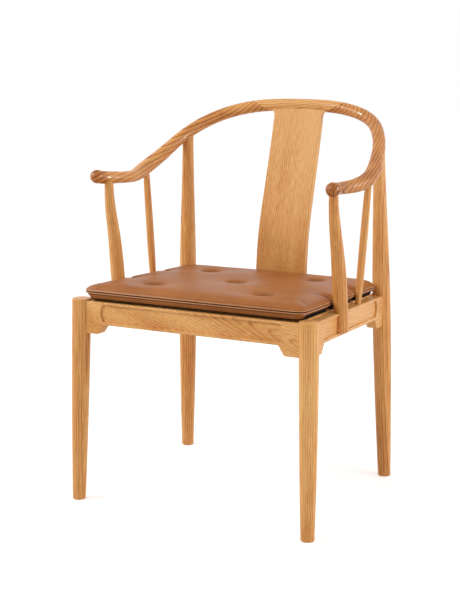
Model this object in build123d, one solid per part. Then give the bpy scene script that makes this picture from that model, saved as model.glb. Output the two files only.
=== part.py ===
from build123d import *
from math import atan2, cos, degrees, hypot, radians, sin, tan
import os

# Horseshoe back armchair in solid wood with a loose leather cushion.
# Millimetres. +Z is up, the sitter faces -Y and +X is the viewer's right from the front.
# The origin is the middle of the overall box, on the floor.

# ---- Overall heights -------------------------------------------------------------------
overall_height = 820.0          # floor to the top of the rail
arm_height = 664.0              # centre of the rail at its lowest, over the arms
seat_height = 429.0             # top of the seat panel at the front legs
seat_slope = 2.2                # degrees, the seat falls towards the back

# ---- Legs --------------------------------------------------------------------------------
front_leg_top = (256.4, -247.7)     # axis at the seat height
front_leg_foot = (264.4, -261.7)    # axis at the floor
front_leg_foot_radius = 13.4
front_leg_middle_radius = 18.1
front_leg_top_radius = 19.7
back_leg_foot = (250.9, 181.0)      # axis at the floor
back_leg_rail_y = 156.0             # where the axis meets the rail
back_leg_radii = ((0.0, 13.5), (0.28, 18.4), (0.485, 19.7), (0.67, 17.9), (0.89, 13.3), (1.0, 12.4))
foot_rounding = 2.0
leg_top_rounding = 1.5

# ---- Aprons ------------------------------------------------------------------------------
apron_thickness = 22.0
apron_height = 46.5
frame_drop = 3.5                # top of the aprons below the seat panel
apron_face_offset = 9.0         # outer face beyond the line that joins the leg axes
bracket_drop = 20.0             # how far the end brackets reach below the apron
bracket_flat = 47.0             # leg axis to the end of the bracket's level foot
bracket_run = 13.0              # level length of the bracket's sloping end
bracket_foot_radius = 8.0
bracket_throat_radius = 6.0
face_recess = 4.0               # depth of the sunk field in the outer face
field_end = 57.0                # leg axis to the corners of the field
field_bulge = 6.0               # how far the field's ends bow towards the legs
field_top_margin = 4.5
field_bottom_margin = 6.5
apron_arris = 1.0
tenon_thickness = 9.0
tenon_height = 34.0
tenon_space = 1.0               # wood left between two tenons in one leg

# ---- Seat panel, corner blocks and screws --------------------------------------------------
panel_thickness = 12.0
panel_gap = 0.5
block_leg = 62.0                # length of a corner block along each apron
block_thickness = 24.0
block_screw_station = 36.0      # along the apron from the block's corner
block_screw_depth = 9.0         # thread in the apron
screw_radius = 2.0
screw_head_radius = 4.0
screw_head_height = 2.5
screw_cover = 3.0               # panel left over the tip of a seat screw

# ---- Rail --------------------------------------------------------------------------------
# Route of the right half: x, y and the rise as a share of the climb from arm to back.
rail_route = (
    (0.0, 261.0, 1.000),
    (63.0, 258.6, 0.992),
    (126.2, 248.0, 0.941),
    (180.9, 223.6, 0.826),
    (218.6, 178.8, 0.655),
    (242.2, 127.8, 0.447),
    (256.1, 74.7, 0.231),
    (262.6, 15.6, 0.065),
    (249.6, -44.7, 0.000),
    (243.8, -76.1, 0.000),
    (246.8, -107.5, 0.008),
    (266.1, -167.4, 0.049),
)
rail_back_radius = 13.5
rail_elbow_radius = 15.6
rail_arm_radius = 12.2
rail_hand_radius = 13.6
knob_radius = 14.2              # ball that ends each hand
elbow_share = 0.68              # of the way from the back to the hand
arm_share = 0.88
section_count = 15              # rail sections from the back to the hand
section_overlap = 2             # sections past the middle that keep the two halves in line
scarf_x = 90.0                  # centre of each glued scarf joint in the rail
scarf_angle = 34.0              # degrees between the scarf and the rail's own line
scarf_dowel_radius = 4.0
scarf_dowel_length = 40.0

# ---- Arm posts and side spindles -----------------------------------------------------------
# Stops of the post's S-shaped axis: share of the height, y and radius.
post_stops = (
    (0.0, -99.2, 14.5),
    (0.17, -102.0, 14.5),
    (0.53, -117.3, 13.6),
    (0.67, -126.3, 12.3),
    (0.80, -134.3, 10.9),
    (0.94, -138.3, 9.4),
    (1.0, -138.3, 9.3),
)
post_foot_rise = 6.0            # end of the lap above the apron's lower edge
post_tip_chamfer = 4.0
post_screw_spacing = 15.0
post_screw_reach = 7.0          # thread in the lap
post_screw_drop = 23.0          # middle of the two screws below the top of the apron
spindle_seat_y = 20.9
spindle_rail_y = 23.7
spindle_inset = 9.3             # axis inside the apron's outer face
spindle_radii = ((0.0, 5.8), (0.22, 7.8), (0.38, 8.15), (0.54, 8.05), (0.79, 7.5), (1.0, 6.7))
peg_length = 10.0               # round tenons that enter the rail
peg_share = 0.62                # peg radius as a share of the piece's end
spindle_foot_peg = 16.0

# ---- Back splat ----------------------------------------------------------------------------
# Stops of the line midway through the board, seen from the side: y and the share of the
# height from the seat frame to the rail's own line.
splat_route = (
    (166.0, -0.077),
    (168.0, 0.027),
    (174.4, 0.204),
    (202.5, 0.485),
    (242.5, 0.834),
    (258.0, 0.999),
)
splat_section_count = 12
splat_thickness = 13.0
splat_foot_width = 121.0
splat_middle_width = 117.0
splat_middle_share = 0.485      # height of this width, as a share like those of the route
splat_waist_width = 115.0
splat_waist_share = 0.834
splat_tongue_width = 101.0
splat_tongue_thickness = 8.0
splat_tongue_depth = 12.0       # in the back apron
splat_head_depth = 9.0          # how far the head goes into the rail's lower half
splat_fillet = 11.0             # the head widens into the rail with this radius
splat_fillet_sink = 1.5         # the widening ends this far inside the rail

# ---- Cushion -------------------------------------------------------------------------------
cushion_gap = 0.3               # under the cushion, which rests on the panel
cushion_front_overhang = 3.3    # past the front apron's outer face
cushion_back_setback = 17.0     # behind the cushion, to the line between the back leg axes
cushion_front_inset = 7.4       # from a front leg's axis to the cushion's side
cushion_back_inset = 2.2        # from a back leg's axis to the cushion's side
cushion_front_radius = 22.0
cushion_back_radius = 22.0
notch_post_reach = (14.0, 2.0)      # from the post's axis to the front and back of its notch
notch_spindle_reach = (2.0, 13.0)   # from the spindle's axis to the front and back of its notch
notch_depth = 22.0
notch_lip_radius = 13.0
notch_throat_radius = 6.0
least_lip_radius = 3.0
radius_loss = 0.55              # share of an inset that a rounded corner loses
seam_bottom = 13.4              # heights above the seat panel
seam_top = 19.9
cushion_crown = 34.0
underside_inset = 12.0          # the lower cover leans in below the seam
shoulder_inset = 7.0            # the upper cover above the seam
shoulder_height = 28.0
crown_inset = 20.0              # the edge of the flat crown
seam_inset = 3.0                # the two covers start this far inside the seam's edge
seam_width = 8.0
cover_thickness = 2.0
tuft_half_span = (125.5, 121.0)     # from the middle tuft to the outer four, x and y
tuft_middle_y = -52.0
tuft_radius = 22.0
tuft_depth = 5.0

# ---- Fits ----------------------------------------------------------------------------------
joint_gap = 0.05                # glued faces that follow a round piece
mortise_gap = 0.1               # round a tenon, a peg or a dowel
screw_gap = 0.05
mortise_end_gap = 1.0
leg_clearance = 1.0             # panel and blocks to a leg
tool_length = 30.0              # room behind a screw head

os.makedirs("parts", exist_ok=True)

rail_top_z = overall_height - rail_back_radius
rail_climb = rail_top_z - arm_height
size = 4 * overall_height       # of the boxes that cut everything on one side


# ---- The rail's own line -------------------------------------------------------------------
def route_point(x, y, rise):
    return Vector(x, y, arm_height + rise * rail_climb)


half_route = [route_point(*stop) for stop in rail_route]
full_route = [Vector(-p.X, p.Y, p.Z) for p in reversed(half_route[1:])] + half_route
rail_line = Spline(full_route)


def rail_share(y):
    """Place along the right half of the rail, 0 at the back and 1 at the hand, at this y."""
    low, high = 0.0, 1.0
    for _ in range(40):
        middle = (low + high) / 2
        if rail_point(middle).Y > y:
            low = middle
        else:
            high = middle
    return (low + high) / 2


def rail_point(share):
    return rail_line @ (0.5 + share / 2)


def rail_heading(share):
    return rail_line % (0.5 + share / 2)


def ease(share):
    return share * share * (3 - 2 * share)


def rail_radius(share):
    """The rail swells at the elbow, thins along the arm and grows again to the hand."""
    stops = (
        (0.0, rail_back_radius),
        (elbow_share - 0.20, rail_back_radius),
        (elbow_share, rail_elbow_radius),
        (arm_share, rail_arm_radius),
        (1.0, rail_hand_radius),
    )
    for (start, r0), (end, r1) in zip(stops, stops[1:]):
        if share <= end:
            return r0 + (r1 - r0) * ease((share - start) / (end - start))
    return rail_hand_radius


def rail_section(share, side, extra):
    centre = rail_point(share)
    heading = rail_heading(share)
    if side < 0:
        centre = Vector(-centre.X, centre.Y, centre.Z)
        heading = Vector(heading.X, -heading.Y, -heading.Z)
    level = Vector(0, 0, 1).cross(heading)
    plane = Plane(origin=centre, x_dir=level, z_dir=heading)
    return plane * Circle(rail_radius(share) + extra)


def rail_body(extra=0.0):
    """The whole rail in one piece, from ball to ball."""
    steps = [i / (section_count - 1) for i in range(section_count)]
    sections = [rail_section(s, -1, extra) for s in reversed(steps[1:section_overlap + 1])]
    sections += [rail_section(s, 1, extra) for s in steps]
    half = loft(sections) & Pos(size / 2, 0, 0) * Box(size, size, size)
    half += Location(half_route[-1]) * Sphere(knob_radius + extra)
    return half + mirrored(half)


# ---- Placing helpers -------------------------------------------------------------------------
def mirrored(shape):
    return mirror(shape, about=Plane.YZ)


def along(start, end):
    """Location at start whose z axis points to end."""
    return Location(Plane(origin=start, z_dir=end - start))


def rod(start, end, radius):
    length = (end - start).length
    return along(start, end) * Pos(0, 0, length / 2) * Cylinder(radius, length)


def turned(start, end, profile):
    """A turned piece round the line from start to end; profile is pairs of share and radius."""
    length = (end - start).length
    points = [(radius, share * length) for share, radius in profile]
    edge = Spline(points)
    outline = edge + Polyline(points[-1], (0, length), (0, 0), points[0])
    return along(start, end) * (Rot(90, 0, 0) * revolve(make_face(outline), Axis.Y))


def slab(bottom, top):
    """Everything between two levels."""
    return Pos(0, 0, (bottom + top) / 2) * Box(size, size, top - bottom)


# ---- Seat frame of reference -------------------------------------------------------------------
# Its origin lies between the front leg axes, at the top of the seat panel. Its y axis runs back
# and down along the seat, and its z axis is square to the seat.
slope = radians(seat_slope)
seat_plane = Plane(
    origin=(0, front_leg_top[1], seat_height),
    x_dir=(1, 0, 0),
    z_dir=(0, sin(slope), cos(slope)),
)
seat = Location(seat_plane)


def seat_top(y):
    """Height of the seat panel's top at this y."""
    return seat_height - (y - front_leg_top[1]) * tan(slope)


def on_seat(y):
    """Distance along the seat for this y."""
    return (y - front_leg_top[1]) / cos(slope)


# ---- Leg axes ----------------------------------------------------------------------------------
front_foot = Vector(front_leg_foot[0], front_leg_foot[1], 0)
front_top = Vector(front_leg_top[0], front_leg_top[1], seat_height)
back_foot = Vector(back_leg_foot[0], back_leg_foot[1], 0)
back_share = rail_share(back_leg_rail_y)
back_top = rail_point(back_share)


def point_at_height(start, end, z):
    return start + (end - start) * ((z - start.Z) / (end.Z - start.Z))


back_seat = back_top
for _ in range(6):
    back_seat = point_at_height(back_foot, back_top, seat_top(back_seat.Y))
seat_depth = on_seat(back_seat.Y)
side_taper = degrees(atan2(front_top.X - back_seat.X, seat_depth))
side_length = hypot(front_top.X - back_seat.X, seat_depth)


# ---- Aprons --------------------------------------------------------------------------------------
def apron(length):
    """Board between two leg axes. Its outer face looks to -y and its top is at z = 0."""
    half = length / 2
    end = half - bracket_flat
    throat = end - bracket_run
    low = -apron_height - bracket_drop
    profile = Polyline(
        (-half, 0), (half, 0), (half, low), (end, low), (throat, -apron_height),
        (-throat, -apron_height), (-end, low), (-half, low), close=True,
    )
    face = make_face(profile)
    feet = [v for v in face.vertices() if abs(abs(v.X) - end) < 0.01]
    face = fillet(feet, bracket_foot_radius)
    throats = [v for v in face.vertices() if abs(abs(v.X) - throat) < 0.01]
    face = fillet(throats, bracket_throat_radius)
    upright = Plane(origin=(0, -apron_face_offset, 0), x_dir=(1, 0, 0), z_dir=(0, -1, 0))
    board = extrude(upright * face, -apron_thickness)
    board = chamfer(board.faces().sort_by(Axis.Y)[0].edges(), apron_arris)
    corner = half - field_end
    top = -field_top_margin
    bottom = -apron_height + field_bottom_margin
    middle = (top + bottom) / 2
    field = Line((-corner, top), (corner, top))
    field += ThreePointArc((corner, top), (corner + field_bulge, middle), (corner, bottom))
    field += Line((corner, bottom), (-corner, bottom))
    field += ThreePointArc((-corner, bottom), (-corner - field_bulge, middle), (-corner, top))
    return board - extrude(upright * make_face(field), -face_recess)


apron_middle = -apron_face_offset + apron_thickness / 2
tenon_reach = apron_middle + tenon_thickness / 2 + tenon_space


def tenons(length, extra=0.0):
    """Both end tenons of an apron; extra gives the mortises."""
    reach = length / 2 - tenon_reach + (mortise_end_gap if extra else 0)
    bar = Box(2 * reach, tenon_thickness + 2 * extra, tenon_height + 2 * extra)
    gap = Box(length - 4 * apron_thickness, apron_thickness, apron_height)
    return Pos(0, apron_middle, -apron_height / 2) * (bar - gap)


front_place = seat * Pos(0, 0, -frame_drop)
back_place = front_place * Pos(0, seat_depth, 0) * Rot(0, 0, 180)
side_middle = Pos((front_top.X + back_seat.X) / 2, seat_depth / 2, 0)
right_place = front_place * side_middle * Rot(0, 0, 90 + side_taper)

front_length = 2 * front_top.X
back_length = 2 * back_seat.X


# ---- Legs ----------------------------------------------------------------------------------------
front_leg_start = point_at_height(front_foot, front_top, -front_leg_foot_radius)
front_leg_end = point_at_height(front_foot, front_top, seat_height + front_leg_foot_radius)
back_leg_start = point_at_height(back_foot, back_top, -back_leg_radii[0][1])


def front_leg(extra=0.0):
    profile = (
        (0.0, front_leg_foot_radius + extra),
        (0.5, front_leg_middle_radius + extra),
        (1.0, front_leg_top_radius + extra),
    )
    return turned(front_leg_start, front_leg_end, profile)


def back_leg(extra=0.0):
    profile = [(share, radius + extra) for share, radius in back_leg_radii]
    return turned(back_leg_start, back_top, profile)


def both_sides(shape):
    return shape + mirrored(shape)


legs_for_coping = both_sides(front_leg(joint_gap)) + both_sides(back_leg(joint_gap))
legs_for_clearing = both_sides(front_leg(leg_clearance)) + both_sides(back_leg(leg_clearance))

front_apron = front_place * apron(front_length) - legs_for_coping + front_place * tenons(front_length)
back_apron = back_place * apron(back_length) - legs_for_coping + back_place * tenons(back_length)
side_apron = right_place * apron(side_length) - legs_for_coping + right_place * tenons(side_length)
side_apron -= front_apron + back_apron

leg_mortises = front_place * tenons(front_length, mortise_gap)
leg_mortises += back_place * tenons(back_length, mortise_gap)
leg_mortises += right_place * tenons(side_length, mortise_gap)

rail_for_coping = rail_body(joint_gap)


def above_floor(shape):
    return shape & slab(0, overall_height)


def rounded_foot(leg):
    return fillet(leg.edges().group_by(Axis.Z)[0], foot_rounding)


def peg_into_rail(start, end, radius, extra=0.0):
    """Round tenon along the line from start to end, which ends on the rail's own line."""
    heading = (end - start).normalized()
    bottom = end - heading * (rail_arm_radius + peg_length)
    top = end - heading * (rail_arm_radius - peg_length - extra)
    return rod(bottom, top, radius + extra)


back_peg_radius = back_leg_radii[-1][1] * peg_share
front_leg_right = front_leg() & slab(0, seat_height)
front_leg_right = rounded_foot(front_leg_right)
front_leg_right = fillet(front_leg_right.edges().group_by(Axis.Z)[-1], leg_top_rounding)
front_leg_right -= leg_mortises
back_leg_right = rounded_foot(above_floor(back_leg() - rail_for_coping))
back_leg_right += peg_into_rail(back_foot, back_top, back_peg_radius)
back_leg_right -= leg_mortises


# ---- Arm posts -------------------------------------------------------------------------------------
def apron_face_x(y):
    """Outer face of the right side apron at this y."""
    share = on_seat(y) / seat_depth
    centre = front_top.X + (back_seat.X - front_top.X) * share
    return centre + apron_face_offset / cos(radians(side_taper))


post_bottom_y = post_stops[0][1]
post_top = rail_point(rail_share(post_stops[-1][1]))
post_x = apron_face_x(post_bottom_y)
post_end_z = seat_top(post_bottom_y) - frame_drop - apron_height + post_foot_rise


def post_section(share, y, radius):
    x = post_x + (post_top.X - post_x) * share
    return Pos(x, y, post_end_z + (post_top.Z - post_end_z) * share) * Circle(radius)


column = loft([post_section(*stop) for stop in post_stops])
column = chamfer(column.edges().group_by(Axis.Z)[0], post_tip_chamfer)
post_foot = Vector(post_top.X, post_top.Y, post_end_z)
post_peg_radius = post_stops[-1][2] * peg_share
arm_post_right = column - side_apron - rail_for_coping
arm_post_right += peg_into_rail(post_foot, post_top, post_peg_radius)


# ---- Side spindles ---------------------------------------------------------------------------------
spindle_x = apron_face_x(spindle_seat_y) - spindle_inset
spindle_foot = Vector(spindle_x, spindle_seat_y, seat_top(spindle_seat_y) - frame_drop)
spindle_top = rail_point(rail_share(spindle_rail_y))
spindle_peg_radius = spindle_radii[0][1] * peg_share
spindle_axis = (spindle_top - spindle_foot).normalized()
above_frame = front_place * Pos(0, 0, size / 2) * Box(size, size, size)


def foot_peg(extra=0.0):
    depth = spindle_foot_peg + (mortise_end_gap if extra else 0)
    return rod(spindle_foot - spindle_axis * depth, spindle_foot + spindle_axis, spindle_peg_radius + extra)


spindle_start = spindle_foot - spindle_axis
side_spindle_right = turned(spindle_start, spindle_top, spindle_radii) & above_frame
side_spindle_right -= rail_for_coping
side_spindle_right += foot_peg()
side_spindle_right += peg_into_rail(spindle_foot, spindle_top, spindle_peg_radius)
side_apron -= foot_peg(mortise_gap)


# ---- Back splat ------------------------------------------------------------------------------------
def splat_height(share):
    return seat_height + share * (rail_top_z - seat_height)


splat_line = Spline([(y, splat_height(share)) for y, share in splat_route])
head_z = rail_top_z - rail_back_radius + splat_head_depth
flare_top = rail_top_z - rail_back_radius + splat_fillet_sink


def splat_side(extra):
    """The board's curved section, seen from the side."""
    half = splat_thickness / 2 + extra
    front = []
    back = []
    for i in range(splat_section_count):
        share = i / (splat_section_count - 1)
        middle = splat_line @ share
        heading = splat_line % share
        front.append((middle.X - heading.Y * half, middle.Y + heading.X * half))
        back.append((middle.X + heading.Y * half, middle.Y - heading.X * half))
    edges = Spline(front) + Line(front[-1], back[-1]) + Spline(back) + Line(back[0], front[0])
    return make_face(Plane.YZ * edges)


def splat_front(extra):
    """The board's outline, seen from the front."""
    low = splat_height(splat_route[0][1])
    middle = (splat_middle_width / 2 + extra, splat_height(splat_middle_share))
    waist_z = splat_height(splat_waist_share)
    foot = splat_foot_width / 2 + extra
    waist = splat_waist_width / 2 + extra
    head = waist + splat_fillet
    flare_low = flare_top - splat_fillet
    turn = splat_fillet * sin(radians(45))
    right = Spline((foot, low), middle, (waist, waist_z))
    right += Line((waist, waist_z), (waist, flare_low))
    right += ThreePointArc((waist, flare_low), (head - turn, flare_low + turn), (head, flare_top))
    right += Line((head, flare_top), (head, head_z + extra))
    left = mirror(right, about=Plane.YZ)
    top = Line((-head, head_z + extra), (head, head_z + extra))
    return make_face(Plane.XZ * (right + left + top + Line((-foot, low), (foot, low))))


def splat_board(extra=0.0):
    board = extrude(splat_side(extra), splat_foot_width, both=True)
    return board & extrude(splat_front(extra), overall_height, both=True)


def splat_tongue(extra=0.0):
    depth = splat_tongue_depth + (mortise_end_gap if extra else 0)
    tongue = Box(splat_tongue_width + 2 * extra, splat_tongue_thickness + 2 * extra, depth)
    return front_place * Pos(0, seat_depth - apron_middle, -depth / 2) * tongue


back_splat = (splat_board() & above_frame) + splat_tongue()
back_apron -= splat_tongue(mortise_gap)


# ---- Rail ------------------------------------------------------------------------------------------
rail = rail_body() - splat_board(mortise_gap)
for start, end, radius in (
    (back_foot, back_top, back_peg_radius),
    (post_foot, post_top, post_peg_radius),
    (spindle_foot, spindle_top, spindle_peg_radius),
):
    rail -= both_sides(peg_into_rail(start, end, radius, mortise_gap))


def rail_share_at(x):
    """Place along the right half of the rail, near its back, at this x."""
    low, high = 0.0, 0.5
    for _ in range(40):
        middle = (low + high) / 2
        if rail_point(middle).X < x:
            low = middle
        else:
            high = middle
    return (low + high) / 2


scarf_share = rail_share_at(scarf_x)
scarf_centre = rail_point(scarf_share)
scarf_heading = rail_heading(scarf_share).normalized()
scarf_level = Vector(0, 0, 1).cross(scarf_heading).normalized()
scarf_rise = scarf_heading.cross(scarf_level)
scarf_normal = scarf_heading * sin(radians(scarf_angle)) - scarf_rise * cos(radians(scarf_angle))
scarf_plane = Plane(origin=scarf_centre, x_dir=scarf_level, z_dir=scarf_normal)
arm_side = Location(scarf_plane) * Pos(0, 0, size / 2) * Box(size, size, size)
arm_side &= Pos(size / 2, 0, 0) * Box(size, size, size)


def scarf_dowel(extra=0.0):
    half = scarf_dowel_length / 2 + (mortise_end_gap if extra else 0)
    reach = scarf_heading * half
    return rod(scarf_centre - reach, scarf_centre + reach, scarf_dowel_radius + extra)


rail -= both_sides(scarf_dowel(mortise_gap))
rail_arm_right = rail & arm_side
rail_back = rail - both_sides(arm_side)


# ---- Screws ----------------------------------------------------------------------------------------
def screw(start, end):
    """Screw whose head's upper face is at start and whose tip is at end."""
    heading = (end - start).normalized()
    return rod(start, end, screw_radius) + rod(start, start + heading * screw_head_height, screw_head_radius)


def screw_hole(start, end):
    heading = (end - start).normalized()
    shank = rod(start, end + heading * screw_gap, screw_radius + screw_gap)
    bore_end = start + heading * (screw_head_height + screw_gap)
    return shank + rod(start - heading * tool_length, bore_end, screw_head_radius + screw_gap)


# ---- Seat panel and corner blocks ------------------------------------------------------------------
taper = radians(side_taper)
apron_inside = apron_thickness - apron_face_offset
side_heading = Vector(-sin(taper), cos(taper), 0)
side_outward = Vector(cos(taper), sin(taper), 0)


def inside_x(y, inset):
    """The right side apron's inner face, moved in by inset, at this distance along the seat."""
    return front_top.X - inset * cos(taper) - (y + inset * sin(taper)) * tan(taper)


panel_inset = apron_inside + panel_gap
panel_front = panel_inset
panel_back = seat_depth - panel_inset
panel_outline = Polyline(
    (-inside_x(panel_front, panel_inset), panel_front),
    (inside_x(panel_front, panel_inset), panel_front),
    (inside_x(panel_back, panel_inset), panel_back),
    (-inside_x(panel_back, panel_inset), panel_back),
    close=True,
)
seat_panel = seat * extrude(make_face(panel_outline), -panel_thickness) - legs_for_clearing


def block_corner(end):
    """Inner corner of the frame on the right; end is -1 at the front and 1 at the back."""
    y = apron_inside if end < 0 else seat_depth - apron_inside
    return Vector(inside_x(y, apron_inside), y, 0)


def corner_block(end):
    corner = block_corner(end)
    inward = corner + Vector(-block_leg, 0, 0)
    sideways = corner - side_heading * (block_leg * end)
    outline = Polyline((corner.X, corner.Y), (inward.X, inward.Y), (sideways.X, sideways.Y), close=True)
    return Pos(0, 0, -panel_thickness) * extrude(make_face(outline), -block_thickness)


def block_screw_lines(end):
    """Start and end of the two screws that hold a block to its aprons."""
    corner = block_corner(end) + Vector(0, 0, -panel_thickness - block_thickness / 2)
    cover = block_leg - block_screw_station - screw_head_height - screw_cover
    lines = []
    for station, outward in (
        (corner + Vector(-block_screw_station, 0, 0), Vector(0, end, 0)),
        (corner - side_heading * (block_screw_station * end), side_outward),
    ):
        lines.append((station - outward * cover, station + outward * block_screw_depth))
    return lines


def seat_screw_line(end):
    corner = block_corner(end)
    third = block_leg / 3
    foot = corner + Vector(-third, -third * end, -panel_thickness - block_thickness + screw_head_height)
    return foot, Vector(foot.X, foot.Y, -screw_cover)


corner_blocks = {}
block_screws = []
seat_screws = []
for end, name in ((-1, "front"), (1, "back")):
    holes = seat * screw_hole(*seat_screw_line(end))
    seat_screws.append(seat * screw(*seat_screw_line(end)))
    for line in block_screw_lines(end):
        holes += seat * screw_hole(*line)
        block_screws.append(seat * screw(*line))
    corner_blocks[name] = seat * corner_block(end) - legs_for_clearing - holes
    seat_panel -= both_sides(holes)
    side_apron -= holes
    if end < 0:
        front_apron -= both_sides(holes)
    else:
        back_apron -= both_sides(holes)

post_station = on_seat(post_bottom_y) / cos(taper) - side_length / 2
post_screws = []
for drop in (post_screw_drop - post_screw_spacing / 2, post_screw_drop + post_screw_spacing / 2):
    start = Vector(post_station, apron_inside - screw_head_height, -drop)
    tip = Vector(post_station, -apron_face_offset - post_screw_reach, -drop)
    post_screws.append(right_place * screw(start, tip))
    hole = right_place * screw_hole(start, tip)
    side_apron -= hole
    arm_post_right -= hole


# ---- Cushion ---------------------------------------------------------------------------------------
cushion_front = -apron_face_offset - cushion_front_overhang
cushion_back = seat_depth - cushion_back_setback
notches = (
    (on_seat(post_bottom_y), notch_post_reach),
    (on_seat(spindle_seat_y), notch_spindle_reach),
)


def cushion_edge_x(y):
    """The cushion's right side at this distance along the seat."""
    share = (y - cushion_front) / (cushion_back - cushion_front)
    front_x = front_top.X - cushion_front_inset
    return front_x + (back_seat.X - cushion_back_inset - front_x) * share


def cushion_outline(inset, height):
    """Level outline of the cushion, inset from its widest outline, at a height over the panel."""
    front = cushion_front + inset
    back = cushion_back - inset
    corners = [(cushion_edge_x(front) - inset, front, cushion_front_radius)]
    for axis, (before, behind) in notches:
        start = axis - before - inset
        stop = axis + behind + inset
        floor = cushion_edge_x(axis) - notch_depth - inset
        corners.append((cushion_edge_x(start) - inset, start, notch_lip_radius))
        corners.append((floor, start, notch_throat_radius))
        corners.append((floor, stop, notch_throat_radius))
        corners.append((cushion_edge_x(stop) - inset, stop, notch_lip_radius))
    corners.append((cushion_edge_x(back) - inset, back, cushion_back_radius))
    right = [(x, y) for x, y, _ in corners]
    left = [(-x, y) for x, y in reversed(right)]
    face = make_face(Polyline(*right, *left, close=True))
    for x, y, radius in corners:
        if radius != notch_throat_radius:
            radius = max(radius - inset * radius_loss, least_lip_radius)
        near = [v for v in face.vertices() if hypot(abs(v.X) - x, v.Y - y) < least_lip_radius / 2]
        face = fillet(near, radius)
    return seat * Pos(0, 0, height) * face


def cushion_layer(*levels):
    """Solid through level outlines; each level is an inset and a height."""
    return loft([cushion_outline(*level) for level in levels], ruled=True)


bottom_outside = cushion_layer((underside_inset, cushion_gap), (seam_inset, seam_bottom))
bottom_inside = cushion_layer(
    (underside_inset + cover_thickness, cushion_gap + cover_thickness),
    (seam_inset + cover_thickness, seam_bottom),
)
top_outside = cushion_layer(
    (seam_inset, seam_top), (shoulder_inset, shoulder_height), (crown_inset, cushion_crown),
)
top_inside = cushion_layer(
    (seam_inset + cover_thickness, seam_top),
    (shoulder_inset + cover_thickness, shoulder_height - cover_thickness),
    (crown_inset + cover_thickness, cushion_crown - cover_thickness),
)
tuft_ball = (tuft_radius ** 2 + tuft_depth ** 2) / (2 * tuft_depth)
tuft_x, tuft_y = tuft_half_span
for x, y in ((0, 0), (tuft_x, tuft_y), (-tuft_x, tuft_y), (tuft_x, -tuft_y), (-tuft_x, -tuft_y)):
    place = seat * Pos(x, on_seat(tuft_middle_y) + y, cushion_crown - tuft_depth + tuft_ball)
    top_outside -= place * Sphere(tuft_ball)
    top_inside -= place * Sphere(tuft_ball + cover_thickness)

seam_middle = extrude(cushion_outline(seam_width, seam_bottom), seam_top - seam_bottom)
cushion_seam_flange = extrude(cushion_outline(0, seam_bottom), seam_top - seam_bottom) - seam_middle
cushion_bottom_cover = bottom_outside - bottom_inside
cushion_top_cover = top_outside - top_inside
cushion_core = bottom_inside + seam_middle + top_inside


# ---- Whole chair -------------------------------------------------------------------------------------
rights = {
    "front_leg": front_leg_right,
    "back_leg": back_leg_right,
    "side_apron": side_apron,
    "arm_post": arm_post_right,
    "side_spindle": side_spindle_right,
    "rail_arm": rail_arm_right,
    "front_corner_block": corner_blocks["front"],
    "back_corner_block": corner_blocks["back"],
}
pieces = {
    "front_apron": front_apron,
    "back_apron": back_apron,
    "rail_back": rail_back,
    "back_splat": back_splat,
    "seat_panel": seat_panel,
    "cushion_bottom_cover": cushion_bottom_cover,
    "cushion_seam_flange": cushion_seam_flange,
    "cushion_top_cover": cushion_top_cover,
    "cushion_core": cushion_core,
}
for name, shape in rights.items():
    pieces[name + "_right"] = shape
    pieces[name + "_left"] = mirrored(shape)
groups = {
    "scarf_dowels": [scarf_dowel()],
    "block_screws": block_screws,
    "seat_screws": seat_screws,
    "post_screws": post_screws,
}

boxes = [shape.bounding_box() for shape in pieces.values()]
middle_x = (min(box.min.X for box in boxes) + max(box.max.X for box in boxes)) / 2
middle_y = (min(box.min.Y for box in boxes) + max(box.max.Y for box in boxes)) / 2
to_origin = Pos(-middle_x, -middle_y, -min(box.min.Z for box in boxes))
for name, shape in pieces.items():
    export_step(to_origin * shape, f"parts/{name}.step")
for name, group in groups.items():
    both = group + [mirrored(shape) for shape in group]
    export_step(Compound(children=[to_origin * shape for shape in both]), f"parts/{name}.step")
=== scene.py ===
"""Dresses the packed horseshoe back armchair: figured hardwood, a leather cushion and a small studio."""

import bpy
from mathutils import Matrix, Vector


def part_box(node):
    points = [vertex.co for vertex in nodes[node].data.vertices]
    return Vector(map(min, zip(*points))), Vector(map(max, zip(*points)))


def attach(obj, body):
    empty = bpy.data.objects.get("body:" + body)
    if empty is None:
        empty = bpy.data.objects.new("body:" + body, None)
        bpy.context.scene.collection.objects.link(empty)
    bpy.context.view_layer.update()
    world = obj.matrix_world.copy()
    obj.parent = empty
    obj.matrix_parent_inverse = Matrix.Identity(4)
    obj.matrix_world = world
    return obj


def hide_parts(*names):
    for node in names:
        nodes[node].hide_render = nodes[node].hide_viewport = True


bl_info = {
    "name": "Horseshoe Back Armchair",
    "version": (1, 0, 0),
    "blender": (4, 5, 0),
    "location": "3D View > Sidebar > Armchair",
    "description": "Hardwood, leather cushion and studio for a horseshoe back armchair",
    "category": "Object",
}

from math import radians

import bmesh
import bpy
from bpy.props import FloatProperty, FloatVectorProperty, IntProperty, PointerProperty
from mathutils import Matrix, Vector

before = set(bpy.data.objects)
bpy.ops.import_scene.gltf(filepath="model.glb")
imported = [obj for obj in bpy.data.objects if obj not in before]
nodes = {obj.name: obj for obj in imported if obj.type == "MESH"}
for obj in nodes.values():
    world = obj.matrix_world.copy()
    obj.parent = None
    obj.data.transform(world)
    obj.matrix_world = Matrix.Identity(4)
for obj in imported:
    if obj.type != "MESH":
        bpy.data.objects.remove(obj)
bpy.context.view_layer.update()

UP = Vector((0, 0, 1))
WHITE = (1, 1, 1)
WAVE_STEP = 0.314           # metres from one wave to the next in a wave texture of scale 1

# ---- Figure of the wood ----------------------------------------------------------------------------
# Scale along the grain, so that each figure is drawn out that way.
RING_STRETCH = 0.10
PORE_STRETCH = 0.07
FIBRE_STRETCH = 0.022
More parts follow.
